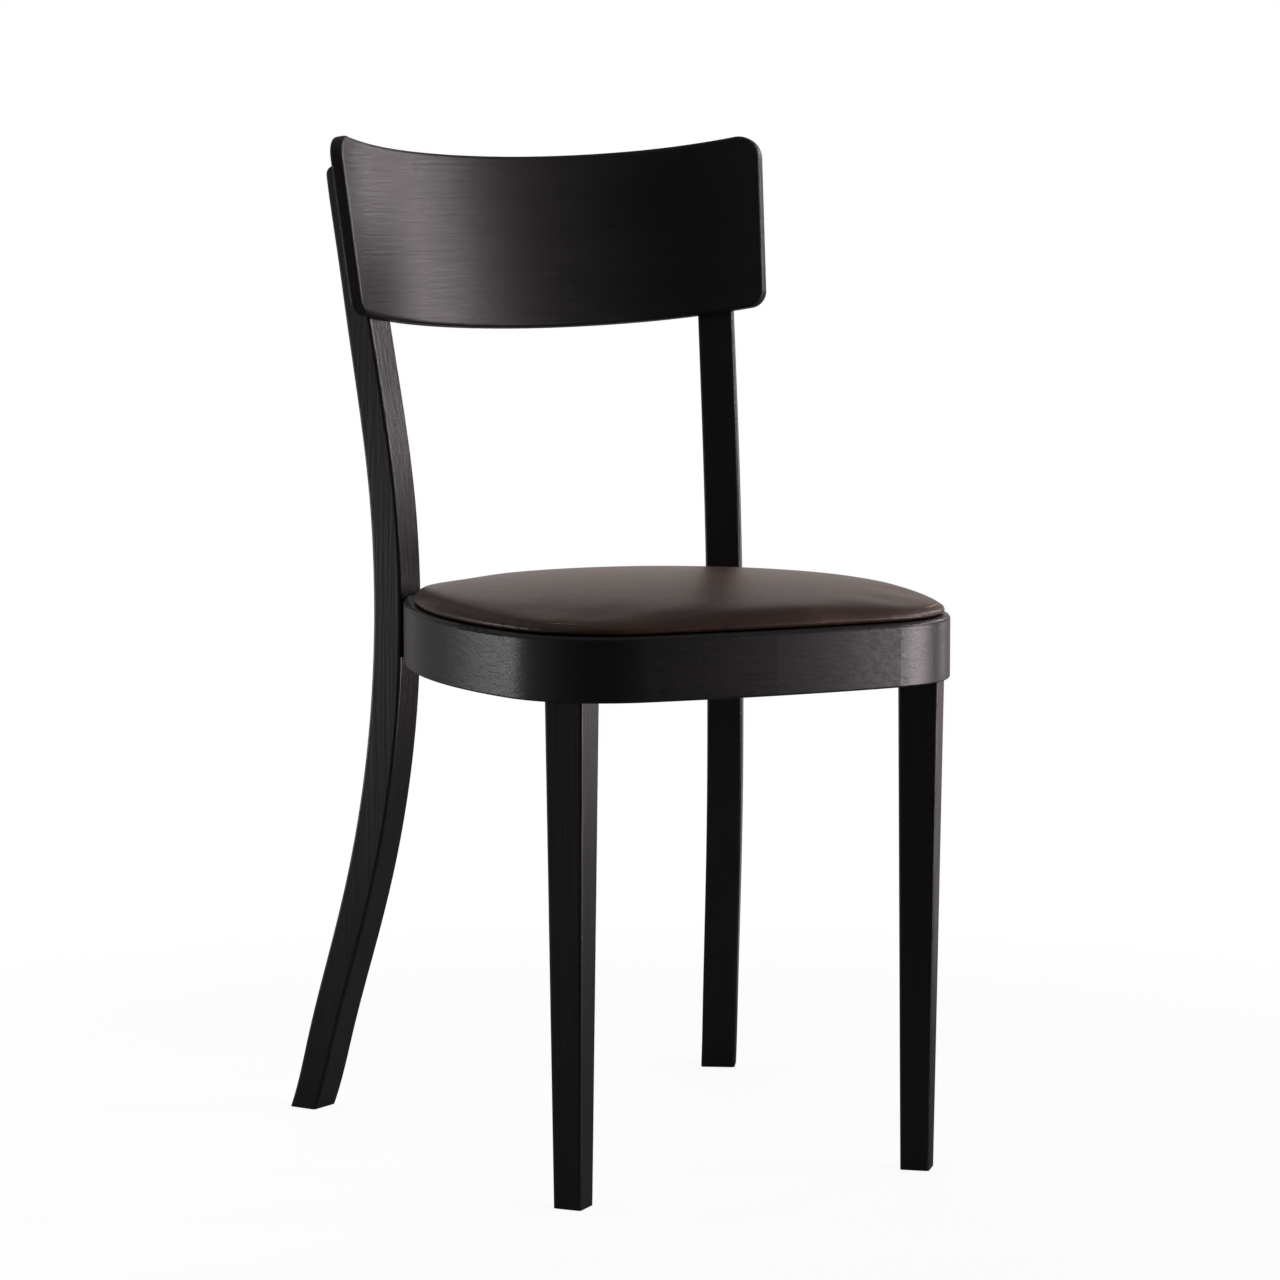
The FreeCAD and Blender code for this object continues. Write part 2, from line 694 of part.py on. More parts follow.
def seat_screw(side, at_rear, gap):
    """Screw up through a block into the board."""
    shoulder = seat_screw_place(side, at_rear) + UP * SEAT_SCREW_COUNTERBORE
    length = BOARD_BOTTOM + SEAT_SCREW_INTO_BOARD - shoulder.z
    shank = rod(shoulder, UP, SEAT_SCREW_SHANK + 2 * gap, length + gap)
    head = rod(shoulder, UP * -1, SEAT_SCREW_HEAD + 2 * gap, SEAT_SCREW_HEAD_HEIGHT)
    return shank.fuse(head).removeSplitter()


def seat_screw_bore(side, at_rear):
    place = seat_screw_place(side, at_rear)
    return rod(place, UP, SEAT_SCREW_HEAD + 4 * FIT_GAP, SEAT_SCREW_COUNTERBORE)


CORNERS = [(side, at_rear) for at_rear in (False, True) for side in SIDES.values()]


# Seat ring

def seat_ring():
    """Ring with the sockets of the front legs and the bores of the bolts and screws."""
    ring = RING.prism(0, RING_BOTTOM, RING_TOP)
    ring = ring.makeFillet(RING_TOP_ROUND, level_edges(ring, RING_TOP))
    ring = ring.makeFillet(RING_LOWER_ROUND, level_edges(ring, RING_BOTTOM))
    ring = ring.cut(RING.prism(RING_THICKNESS, RING_BOTTOM - OVERRUN, RING_TOP + OVERRUN))
    for side in SIDES.values():
        ring = ring.cut(front_tenon(side, FIT_GAP))
        for z in bolt_heights():
            start = ring_corner_point(side, z, RING_THICKNESS + BLOCK_DEPTH / 2)
            ring = ring.cut(rod(start, bolt_way(side), BOLT_DIAMETER + 2 * FIT_GAP, 2 * RING_THICKNESS))
        for screw in block_screws(side, False, FIT_GAP):
            ring = ring.cut(screw)
    return ring


# Seat pad

def pad_form(depth):
    """Crowned form of the pad, a depth inside its outer surface."""
    bottom = HEM_BOTTOM + depth
    top = PAD_TOP - depth
    radius = PAD_CROWN_RADIUS - depth
    crown = Part.makeSphere(radius)
    crown.rotate(Vector(0, 0, 0), Vector(1, 0, 0), 90)
    crown.translate(Vector(0, 0, top - radius))
    prism = PAD.prism(depth, bottom, top + OVERRUN)
    form = prism.common(crown)
    rim = edges_where(form, lambda e: e.BoundBox.ZMin > bottom + OVERRUN)
    form = form.makeFillet(PAD_SHOULDER - depth, rim)
    return form.makeFillet(PAD_LOWER_ROUND - depth, level_edges(form, bottom))


def layer_sheet(inset, bottom, thickness):
    return PAD.prism(inset, bottom, bottom + thickness)


def staple_frames():
    """Middle and tangent of every staple, round the inside of the ring."""
    inset = RING_THICKNESS + STAPLE_FROM_RING
    rows = ((RING.front_centre, RING_FRONT_BOW, -90, STAPLE_FRONT_ANGLES),
            (RING.rear_centre, RING_REAR_BOW, 90, STAPLE_REAR_ANGLES),
            (RING.side_centre, RING_SIDE_BOW, 0, STAPLE_SIDE_ANGLES))
    frames = []
    for centre, bow, start, angles in rows:
        for angle in angles:
            way = turned_flat(start + angle)
            frames.append((centre + way * (bow - inset), UP.cross(way)))
    mirrored = [(Vector(-at.x, at.y, 0), Vector(way.x, -way.y, 0)) for at, way in frames if at.x > 0]
    right = [frame for frame in frames if frame[0].x > 0]
    return right + mirrored


def staple(frame, gap):
    """One staple as a crown bar with two legs, larger by a gap all round its legs."""
    middle, tangent = frame
    crown_z = DUST_COVER_BOTTOM - LAYER_GAP - STAPLE_WIRE
    half = STAPLE_CROWN / 2
    across = -STAPLE_WIRE / 2
    shape = Part.makeBox(STAPLE_CROWN, STAPLE_WIRE, STAPLE_WIRE, Vector(-half, across, crown_z))
    thick = STAPLE_WIRE + 2 * gap
    for x in (-half, half - STAPLE_WIRE):
        corner = Vector(x - gap, across - gap, crown_z)
        shape = shape.fuse(Part.makeBox(thick, thick, STAPLE_WIRE + STAPLE_LEG + gap, corner))
    return placed(shape.removeSplitter(), middle, tangent)


def cover_staples():
    return Part.makeCompound([staple(frame, 0) for frame in staple_frames()])


def pierced(layer):
    """Layer of the pad with the slots of the staples and the bores of the seat screws."""
    slots = [staple(frame, FIT_GAP) for frame in staple_frames()]
    screws = [seat_screw(side, at_rear, FIT_GAP) for side, at_rear in CORNERS]
    return layer.cut(Part.makeCompound(slots)).cut(Part.makeCompound(screws))


def dust_cover():
    return pierced(layer_sheet(DUST_COVER_INSET, DUST_COVER_BOTTOM, DUST_COVER_THICKNESS))


def seat_board():
    return pierced(layer_sheet(COVER_THICKNESS + BOARD_INSET, BOARD_BOTTOM, BOARD_THICKNESS))


def seat_foam():
    form = pad_form(COVER_THICKNESS + LAYER_GAP)
    lower = PAD.prism(-RING_THICKNESS, HEM_BOTTOM, FOAM_BOTTOM)
    return form.cut(lower)


def seat_cover():
    """Leather skin over the pad, with its hem turned in under the board."""
    skin = pad_form(0).cut(pad_form(COVER_THICKNESS))
    opening = layer_sheet(COVER_HEM_WIDTH, HEM_BOTTOM - OVERRUN, COVER_THICKNESS + 2 * OVERRUN)
    return pierced(skin.cut(opening))


# Fastener groups

def corner_block_screws():
    screws = []
    for side, at_rear in CORNERS:
        way = block_way(side, at_rear)
        for screw in block_screws(side, at_rear, 0):
            face = min(screw.Faces, key=lambda f: f.CenterOfMass.dot(way))
            socket = recess(face.CenterOfMass, way, cross(CROSS_SPAN, CROSS_SLOT), CROSS_DEPTH)
            screws.append(screw.cut(socket))
    return Part.makeCompound(screws)


def seat_screws():
    screws = []
    for side, at_rear in CORNERS:
        screw = seat_screw(side, at_rear, 0)
        face = min(screw.Faces, key=lambda f: f.CenterOfMass.z)
        socket = recess(face.CenterOfMass, UP, cross(CROSS_SPAN, CROSS_SLOT), CROSS_DEPTH)
        screws.append(screw.cut(socket))
    return Part.makeCompound(screws)


def backrest_screws():
    return Part.makeCompound([back_screw(place, 0) for place in back_screw_places()])


def backrest_screw_plugs():
    return Part.makeCompound([back_screw_plug(place) for place in back_screw_places()])


def backrest_panel_bored():
    panel = backrest_panel()
    for place in back_screw_places():
        panel = panel.cut(back_screw(place, FIT_GAP))
    return panel


def on_side(shape, side):
    """Piece made for the left side, or its mirror image for the right side."""
    return shape if side < 0 else shape.mirror(Vector(0, 0, 0), Vector(1, 0, 0))


def nodes():
    """Every piece of the chair by its name."""
    made = {
        "seat_ring": seat_ring(),
        "backrest_panel": backrest_panel_bored(),
        "seat_board": seat_board(),
        "seat_foam": seat_foam(),
        "seat_cover": seat_cover(),
        "dust_cover": dust_cover(),
        "cover_staples": cover_staples(),
        "corner_block_screws": corner_block_screws(),
        "seat_screws": seat_screws(),
        "rear_leg_bolts": rear_leg_bolts(),
        "rear_leg_washers": rear_leg_washers(),
        "rear_leg_inserts": rear_leg_inserts(),
        "backrest_screws": backrest_screws(),
        "backrest_screw_plugs": backrest_screw_plugs(),
    }
    left = SIDES["left"]
    pairs = {
        "front_leg_": front_leg(left),
        "rear_leg_": rear_leg(left),
        "front_corner_block_": corner_block(left, False),
        "rear_corner_block_": corner_block(left, True),
    }
    for name, shape in pairs.items():
        for hand, side in SIDES.items():
            made[name + hand] = on_side(shape, side)
    return made


def middle_of_depth():
    """Distance from the sketching origin back to the middle of the chair's depth."""
    side = SIDES["right"]
    backward, outward = rear_leg_axes(side)
    inner = REAR_LEG_WIDTH / 2 - LEG_EDGE_ROUND
    round_centre = rear_leg_front(side, 0) + backward * (rear_depth(0) - LEG_EDGE_ROUND) - outward * inner
    return (round_centre.y + LEG_EDGE_ROUND - RING_FRONT) / 2


os.makedirs("parts", exist_ok=True)
for node, shape in nodes().items():
    shape.translate(Vector(0, -middle_of_depth(), 0))
    shape.exportStep("parts/" + node + ".step")
    print(node, len(shape.Solids), shape.isValid(), round(shape.Volume / 1000, 1))
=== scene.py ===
import json
import math

import bmesh
import bpy
import numpy as np
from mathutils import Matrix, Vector

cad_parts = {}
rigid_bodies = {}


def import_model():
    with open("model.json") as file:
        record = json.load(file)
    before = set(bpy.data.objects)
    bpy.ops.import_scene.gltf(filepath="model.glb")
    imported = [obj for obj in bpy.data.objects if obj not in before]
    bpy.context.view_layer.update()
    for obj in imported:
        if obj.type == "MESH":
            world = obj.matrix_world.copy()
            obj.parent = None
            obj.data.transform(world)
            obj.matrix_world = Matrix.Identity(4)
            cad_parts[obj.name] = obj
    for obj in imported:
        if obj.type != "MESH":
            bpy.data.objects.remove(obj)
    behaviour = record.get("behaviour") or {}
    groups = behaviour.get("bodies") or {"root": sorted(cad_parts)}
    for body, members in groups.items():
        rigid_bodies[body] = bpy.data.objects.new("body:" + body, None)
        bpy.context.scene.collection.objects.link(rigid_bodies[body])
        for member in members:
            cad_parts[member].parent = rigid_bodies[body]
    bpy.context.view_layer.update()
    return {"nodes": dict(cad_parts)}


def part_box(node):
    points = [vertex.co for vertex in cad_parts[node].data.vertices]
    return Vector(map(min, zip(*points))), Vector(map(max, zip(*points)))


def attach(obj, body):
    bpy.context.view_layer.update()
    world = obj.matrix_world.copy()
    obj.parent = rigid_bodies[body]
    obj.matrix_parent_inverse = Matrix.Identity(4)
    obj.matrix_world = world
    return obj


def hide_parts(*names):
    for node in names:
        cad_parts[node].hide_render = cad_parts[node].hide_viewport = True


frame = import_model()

bl_info = {
    "name": "Bentwood bistro chair",
    "version": (1, 0, 0),
    "blender": (4, 5, 0),
    "location": "3D View > Sidebar > Chair",
    "description": "Dresses the packed bistro chair: stained beech, leather seat pad, studio",
    "category": "Object",
}

NODES = frame["nodes"]
MM = 0.001

# Forms in the wood: length along and width across the grain, in metres. Fibres are about 0.1 mm
# across and pores half that; both are drawn wider so that they show.
FIBRE = (60 * MM, 0.9 * MM)
PORE = (5 * MM, 0.35 * MM)
CLOUD = (180 * MM, 22 * MM)
BAND = (160 * MM, 3.5 * MM)
RAY_FLECK = (4 * MM, 1.3 * MM)
# Share of the cells along the grain that hold a ray fleck
FLECKED_SHARE = 0.45

# Forms in the leather, the cloth and the plating, as sizes across. Pebbles of real hide are
# 0.4 to 0.8 mm; they are drawn larger so that they show.
PEBBLE = 1.0 * MM
PEBBLE_BEND = 3 * MM
CREASE = 14 * MM
HIDE_CLOUD = 60 * MM
CLOTH_FIBRE = 0.8 * MM
WELD_PITCH = 1.6 * MM
PLATING_CLOUD = 1.5 * MM

# Finishes: least and most roughness, and height of the relief in millimetres
FRAME_GLOSS = (0.32, 0.40)
PANEL_GLOSS = (0.40, 0.48)
LEATHER_GLOSS = (0.32, 0.42)
FRAME_RELIEF = 0.05
PANEL_RELIEF = 0.07

# Places that the lamps are aimed at
BACKREST = (0, 0, 0.75)
LEGS = (0, 0, 0.42)
RING_FRONT = (0.13, -0.23, 0.41)


# Helpers

def hex_to_linear(text):
    """Linear RGBA of an sRGB hex colour."""
    channels = [int(text[i:i + 2], 16) / 255 for i in (1, 3, 5)]
    linear = [c / 12.92 if c <= 0.04045 else ((c + 0.055) / 1.055) ** 2.4 for c in channels]
    return (*linear, 1.0)


def select_only(piece):
    """Deselects everything and makes one piece selected and active."""
    for other in bpy.context.view_layer.objects:
        other.select_set(False)
    piece.select_set(True)
    bpy.context.view_layer.objects.active = piece


def add_node(tree, kind, settings=None, links=None):
    """Adds a shader node, sets its properties and sockets, and links its inputs."""
    node = tree.nodes.new("ShaderNode" + kind)
    for key, value in (settings or {}).items():
        if isinstance(key, str) and hasattr(node, key):
            setattr(node, key, value)
        else:
            node.inputs[key].default_value = value
    for key, source in (links or {}).items():
        tree.links.new(source, node.inputs[key])
    return node


def new_material(name):
    """A material without nodes, and the tree that holds them."""
    material = bpy.data.materials.new(name)
    material.use_nodes = True
    material.node_tree.nodes.clear()
    return material, material.node_tree


def finish_material(tree, shader):
    """Adds the output node that shows a shader."""
    add_node(tree, "OutputMaterial", links={"Surface": shader.outputs[0]})


def dress(piece, material):
    """Gives a piece one material on every face."""
    piece.data.materials.clear()
    piece.data.materials.append(material)


def copy_of(node, name):
    """A new object with its own welded copy of a CAD node's mesh."""
    piece = bpy.data.objects.new(name, NODES[node].data.copy())
    bpy.context.scene.collection.objects.link(piece)
    select_only(piece)
    bpy.ops.object.mode_set(mode="EDIT")
    bpy.ops.mesh.select_all(action="SELECT")
    bpy.ops.mesh.remove_doubles(threshold=0.01 * MM)
    bpy.ops.object.mode_set(mode="OBJECT")
    return piece


def vertex_places(piece):
    """Places of a piece's vertices, one row each."""
    places = np.empty(len(piece.data.vertices) * 3)
    piece.data.vertices.foreach_get("co", places)
    return places.reshape(-1, 3)


def sheet_area(piece, thickness):
    """Flat area of a sheet of even thickness."""
    mesh = bmesh.new()
    mesh.from_mesh(piece.data)
    volume = mesh.calc_volume()
    mesh.free()
    return volume / thickness


def apply_modifiers(piece):
    """Applies every modifier of a piece, from the first to the last."""
    select_only(piece)
    for modifier in list(piece.modifiers):
        bpy.ops.object.modifier_apply(modifier=modifier.name)


# Materials

def rising_grain(tree):
    """Coordinates with the grain, in metres, running up the piece."""
    place = add_node(tree, "TexCoord")
    xyz = add_node(tree, "SeparateXYZ", links={0: place.outputs["Object"]})
    grain = add_node(tree, "CombineXYZ",
                     links={0: xyz.outputs[2], 1: xyz.outputs[0], 2: xyz.outputs[1]})
    return grain.outputs[0]


def bent_grain(tree, centre_y, radius):
    """Coordinates with the grain, in metres, running round an upright axis."""
    place = add_node(tree, "TexCoord")
    centred = add_node(tree, "VectorMath", {"operation": "SUBTRACT", 1: (0, centre_y, 0)},
                       {0: place.outputs["Object"]})
    xyz = add_node(tree, "SeparateXYZ", links={0: centred.outputs[0]})
    angle = add_node(tree, "Math", {"operation": "ARCTAN2"},
                     {0: xyz.outputs[0], 1: xyz.outputs[1]})
    along = add_node(tree, "Math", {"operation": "MULTIPLY", 1: radius}, {0: angle.outputs[0]})
    flat = add_node(tree, "VectorMath", {"operation": "MULTIPLY", 1: (1, 1, 0)},
                    {0: centred.outputs[0]})
    out = add_node(tree, "VectorMath", {"operation": "LENGTH"}, {0: flat.outputs[0]})
    grain = add_node(tree, "CombineXYZ",
                     links={0: along.outputs[0], 1: out.outputs["Value"], 2: xyz.outputs[2]})
    return grain.outputs[0]


def drawn_out(tree, grain, form):
    """Coordinates counted in one form's length along the grain and width across it."""
    length, width = form
    counted = add_node(tree, "VectorMath",
                       {"operation": "MULTIPLY", 1: (1 / length, 1 / width, 1 / width)}, {0: grain})
    return counted.outputs[0]


def streaks(tree, grain, form, detail):
    """Noise drawn out along the grain to the size of one form."""
    noise = add_node(tree, "TexNoise", {"Scale": 1.0, "Detail": detail, "Roughness": 0.55},
                     {"Vector": drawn_out(tree, grain, form)})
    return noise.outputs["Fac"]


def ray_flecks(tree, grain):
    """Short dashes, 1 on a fleck and 0 beside it, in some of the cells along the grain."""
    cells = add_node(tree, "TexVoronoi", {"feature": "F1", "Scale": 1.0},
                     {"Vector": drawn_out(tree, grain, RAY_FLECK)})
    spots = add_node(tree, "MapRange",
                     {"From Min": 0.10, "From Max": 0.34, "To Min": 1.0, "To Max": 0.0},
                     {"Value": cells.outputs["Distance"]})
    chance = add_node(tree, "SeparateColor", links={0: cells.outputs["Color"]})
    kept = add_node(tree, "Math", {"operation": "GREATER_THAN", 1: 1 - FLECKED_SHARE},
                    {0: chance.outputs[0]})
    flecks = add_node(tree, "Math", {"operation": "MULTIPLY"},
                      {0: spots.outputs[0], 1: kept.outputs[0]})
    return flecks.outputs[0]


def beech(name, dark, light, fleck, grain_of, gloss, relief):
    """Beech: straight fine fibres, short medullary ray flecks, and a surface that follows them."""
    material, tree = new_material(name)
    grain = grain_of(tree)
    fibres = streaks(tree, grain, FIBRE, detail=3.0)
    pores = streaks(tree, grain, PORE, detail=2.0)
    cloud = streaks(tree, grain, CLOUD, detail=2.0)
    # Bands of early and late wood, left by bending and sanding as faint waves
    bands = streaks(tree, grain, BAND, detail=1.0)
    flecks = ray_flecks(tree, grain)
    # Colour: fibres over wide clouds, with the flecks half covered by the finish
    tone = add_node(tree, "Math", {"operation": "MULTIPLY_ADD", 1: 0.6}, {0: fibres, 2: cloud})
    shade = add_node(tree, "MapRange", {"From Min": 0.55, "From Max": 1.05},
                     {"Value": tone.outputs[0]})
    wood = add_node(tree, "Mix",
                    {"data_type": "RGBA", 6: hex_to_linear(dark), 7: hex_to_linear(light)},
                    {0: shade.outputs[0]})
    fleck_share = add_node(tree, "Math", {"operation": "MULTIPLY", 1: 0.5}, {0: flecks})
    colour = add_node(tree, "Mix", {"data_type": "RGBA", 7: hex_to_linear(fleck)},
                      {0: fleck_share.outputs[0], 6: wood.outputs[2]})
    # Gloss: the finish stands a little duller on the fibres
    rough = add_node(tree, "MapRange",
                     {"From Min": 0.3, "From Max": 0.7, "To Min": gloss[0], "To Max": gloss[1]},
                     {"Value": fibres})
    # Relief: fibres, half as much of the pores, the flecks, and the bands as the widest waves
    fine = add_node(tree, "Math", {"operation": "MULTIPLY_ADD", 1: 0.5}, {0: pores, 2: fibres})
    rays = add_node(tree, "Math", {"operation": "MULTIPLY_ADD", 1: 0.6},
                    {0: flecks, 2: fine.outputs[0]})
    height = add_node(tree, "Math", {"operation": "MULTIPLY_ADD", 1: 5.0},
                      {0: bands, 2: rays.outputs[0]})
    bump = add_node(tree, "Bump", {"Strength": 1.0, "Distance": relief * MM},
                    {"Height": height.outputs[0]})
    shader = add_node(tree, "BsdfPrincipled", {"IOR": 1.5},
                      {"Base Color": colour.outputs[2], "Roughness": rough.outputs[0],
                       "Normal": bump.outputs[0]})
    finish_material(tree, shader)
    return material


def leather(name, dark, light):
    """Smooth upholstery leather: fine pebbled pores, soft cloudy colour, a satin topcoat."""
    material, tree = new_material(name)
    place = add_node(tree, "TexCoord").outputs["Object"]
    # Pebbles, bent a little out of their cells
    spread = add_node(tree, "TexNoise", {"Scale": 1 / PEBBLE_BEND, "Detail": 2.0},
                      {"Vector": place})
    shift = add_node(tree, "VectorMath", {"operation": "SCALE", "Scale": PEBBLE / 2},
                     {0: spread.outputs["Color"]})
    bent = add_node(tree, "VectorMath", {"operation": "ADD"}, {0: place, 1: shift.outputs[0]})
    pebbles = add_node(tree, "TexVoronoi", {"feature": "SMOOTH_F1", "Scale": 1 / PEBBLE},
                       {"Vector": bent.outputs[0]})
    creases = add_node(tree, "TexNoise", {"Scale": 1 / CREASE, "Detail": 3.0, "Roughness": 0.6},
                       {"Vector": place})
    cloud = add_node(tree, "TexNoise", {"Scale": 1 / HIDE_CLOUD, "Detail": 3.0},
                     {"Vector": place})
    shade = add_node(tree, "MapRange", {"From Min": 0.35, "From Max": 0.65},
                     {"Value": cloud.outputs["Fac"]})
    colour = add_node(tree, "Mix",
                      {"data_type": "RGBA", 6: hex_to_linear(dark), 7: hex_to_linear(light)},
                      {0: shade.outputs[0]})
    rough = add_node(tree, "MapRange",
                     {"From Min": 0.0, "From Max": 0.6,
                      "To Min": LEATHER_GLOSS[0], "To Max": LEATHER_GLOSS[1]},
                     {"Value": pebbles.outputs["Distance"]})
    fine = add_node(tree, "Bump", {"Strength": 1.0, "Distance": 0.04 * MM},
                    {"Height": pebbles.outputs["Distance"]})
    bump = add_node(tree, "Bump", {"Strength": 1.0, "Distance": 0.35 * MM},
                    {"Height": creases.outputs["Fac"], "Normal": fine.outputs[0]})
    shader = add_node(tree, "BsdfPrincipled", {"IOR": 1.5},
                      {"Base Color": colour.outputs[2], "Roughness": rough.outputs[0],
                       "Normal": bump.outputs[0]})
    finish_material(tree, shader)
    return material


def plated_metal(name, tint, gloss):
    """Plated wire and turned fasteners: metal with faint clouds in its gloss."""
    material, tree = new_material(name)
    place = add_node(tree, "TexCoord").outputs["Object"]
    cloud = add_node(tree, "TexNoise", {"Scale": 1 / PLATING_CLOUD, "Detail": 3.0},
                     {"Vector": place})
    rough = add_node(tree, "MapRange",
                     {"From Min": 0.3, "From Max": 0.7, "To Min": gloss[0], "To Max": gloss[1]},
                     {"Value": cloud.outputs["Fac"]})
    bump = add_node(tree, "Bump", {"Strength": 1.0, "Distance": 0.02 * MM},
                    {"Height": cloud.outputs["Fac"]})
    shader = add_node(tree, "BsdfPrincipled",
                      {"Base Color": hex_to_linear(tint), "Metallic": 1.0},
                      {"Roughness": rough.outputs[0], "Normal": bump.outputs[0]})
    finish_material(tree, shader)
    return material


def spunbond_cloth(name, tint):
    """Black spunbond dust cloth: matt tangled fibres with a grid of small welded dots."""
    material, tree = new_material(name)
    place = add_node(tree, "TexCoord").outputs["Object"]
    fibres = add_node(tree, "TexNoise",
                      {"Scale": 1 / CLOTH_FIBRE, "Detail": 5.0, "Roughness": 0.8},
                      {"Vector": place})
    dots = add_node(tree, "TexVoronoi",
                    {"feature": "F1", "Scale": 1 / WELD_PITCH, "Randomness": 0.0},
                    {"Vector": place})
    # The welds press the fibres flat and leave them shinier
    loose = add_node(tree, "MapRange", {"From Min": 0.22, "From Max": 0.34},
                     {"Value": dots.outputs["Distance"]})
    height = add_node(tree, "Math", {"operation": "MULTIPLY"},
                      {0: fibres.outputs["Fac"], 1: loose.outputs[0]})
    bump = add_node(tree, "Bump", {"Strength": 1.0, "Distance": 0.15 * MM},
                    {"Height": height.outputs[0]})
    rough = add_node(tree, "MapRange", {"To Min": 0.55, "To Max": 0.9},
                     {"Value": loose.outputs[0]})
    shader = add_node(tree, "BsdfPrincipled",
                      {"Base Color": hex_to_linear(tint), "Sheen Weight": 0.2},
                      {"Roughness": rough.outputs[0], "Normal": bump.outputs[0]})
    finish_material(tree, shader)
    return material


def seen_directly(tree, path):
    """1 for a ray from the camera or through glass, 0 for every other ray."""
    ray = add_node(tree, "Math", {"operation": "MAXIMUM"},
                   {0: path.outputs["Is Camera Ray"], 1: path.outputs["Is Transmission Ray"]})
    return ray.outputs[0]


# Sizes and colours

class StageSettings(bpy.types.PropertyGroup):
    """Camera, lamps and floor."""
    camera_place: bpy.props.FloatVectorProperty(
        name="Camera place", description="Where the camera stands", size=3,
        default=(-1.5585, -3.1929, 0.7944), subtype="TRANSLATION", unit="LENGTH")
    camera_way: bpy.props.FloatVectorProperty(
        name="Camera direction", description="Where the camera looks", size=3,
        default=(0.43686, 0.89296, -0.10849), subtype="DIRECTION")
    lens: bpy.props.FloatProperty(
        name="Lens", description="Focal length for a 36 mm wide sensor, in millimetres",
        default=124.88, min=10.0)
    dim_side: bpy.props.FloatProperty(
        name="Dim side", description="Level of the studio on the camera's side",
        default=0.05, min=0.0)
    sky_power: bpy.props.FloatProperty(
        name="Overhead light", description="Strength of the broad light from above",
        default=0.3, min=0.0)
    sky_width: bpy.props.FloatProperty(
        name="Overhead width", description="Angle across the broad light from above",
        default=math.radians(110), subtype="ANGLE")
    sky_way: bpy.props.FloatVectorProperty(
        name="Overhead direction", description="Where the light from above shines", size=3,
        default=(0.0, -0.2, -1.0), subtype="DIRECTION")
    floor_lift: bpy.props.FloatProperty(
        name="Floor lift", description="Own light of the floor to the eye, up to white",
        default=0.9, min=0.0)
    mirrored_lift: bpy.props.FloatProperty(
        name="Mirrored lift", description="Share of that light that glossy surfaces mirror",
        default=0.04, min=0.0)
    floor_colour: bpy.props.StringProperty(
        name="Floor colour", description="sRGB hex colour of the floor", default="#a0a09f")
    floor_radius: bpy.props.FloatProperty(
        name="Floor radius", description="Where the floor has faded into the backdrop",
        default=1.1, unit="LENGTH")
    plain_share: bpy.props.FloatProperty(
        name="Plain share", description="Share of the floor's radius at which it starts to fade",
        default=0.45, min=0.0, max=1.0)


class WoodSettings(bpy.types.PropertyGroup):
    """Colours of the stained wood, and the radii of its grain."""
    stain_dark: bpy.props.StringProperty(
        name="Stain, dark", description="sRGB hex colour between the fibres", default="#181718")
    stain_light: bpy.props.StringProperty(
        name="Stain, light", description="sRGB hex colour on the fibres", default="#232122")
    stain_fleck: bpy.props.StringProperty(
        name="Stain, flecks", description="sRGB hex colour of the ray flecks", default="#2b2829")
    ring_radius: bpy.props.FloatProperty(
        name="Ring radius", description="Mean radius of the seat ring, for its grain",
        default=0.19, unit="LENGTH")
    back_radius: bpy.props.FloatProperty(
        name="Back radius", description="Radius of the backrest panel, for its grain",
        default=0.3, unit="LENGTH")


class SeatSettings(bpy.types.PropertyGroup):
    """Seat pad and its cloth."""
    leather_dark: bpy.props.StringProperty(
        name="Leather, dark", description="sRGB hex colour of the darker clouds",
        default="#3d291f")
    leather_light: bpy.props.StringProperty(
        name="Leather, light", description="sRGB hex colour of the lighter clouds",
        default="#4c3529")
    cloth_colour: bpy.props.StringProperty(
        name="Dust cloth", description="sRGB hex colour of the cloth under the pad",
        default="#1b1b1c")
    voxel: bpy.props.FloatProperty(
        name="Voxel", description="Mesh size of the pad before it swells",
        default=0.0045, unit="LENGTH")
    swell: bpy.props.FloatProperty(
        name="Swell", description="Most that a point of the pad may move",
        default=0.0015, unit="LENGTH")
    pressure: bpy.props.FloatProperty(
        name="Pressure", description="Pressure of the foam under the leather", default=4.0)
    frames: bpy.props.IntProperty(
        name="Frames", description="Frames for which the pad swells", default=20, min=1)
    hem: bpy.props.FloatProperty(
        name="Hem", description="Height of the leather's edge that the board holds",
        default=0.006, unit="LENGTH")
    evening: bpy.props.IntProperty(
        name="Evening", description="Rounds in which the swelling is evened out",
        default=12, min=0)
    softness: bpy.props.IntProperty(
        name="Softness", description="Rounds of smoothing that soften the shoulder",
        default=24, min=0)


# Pieces

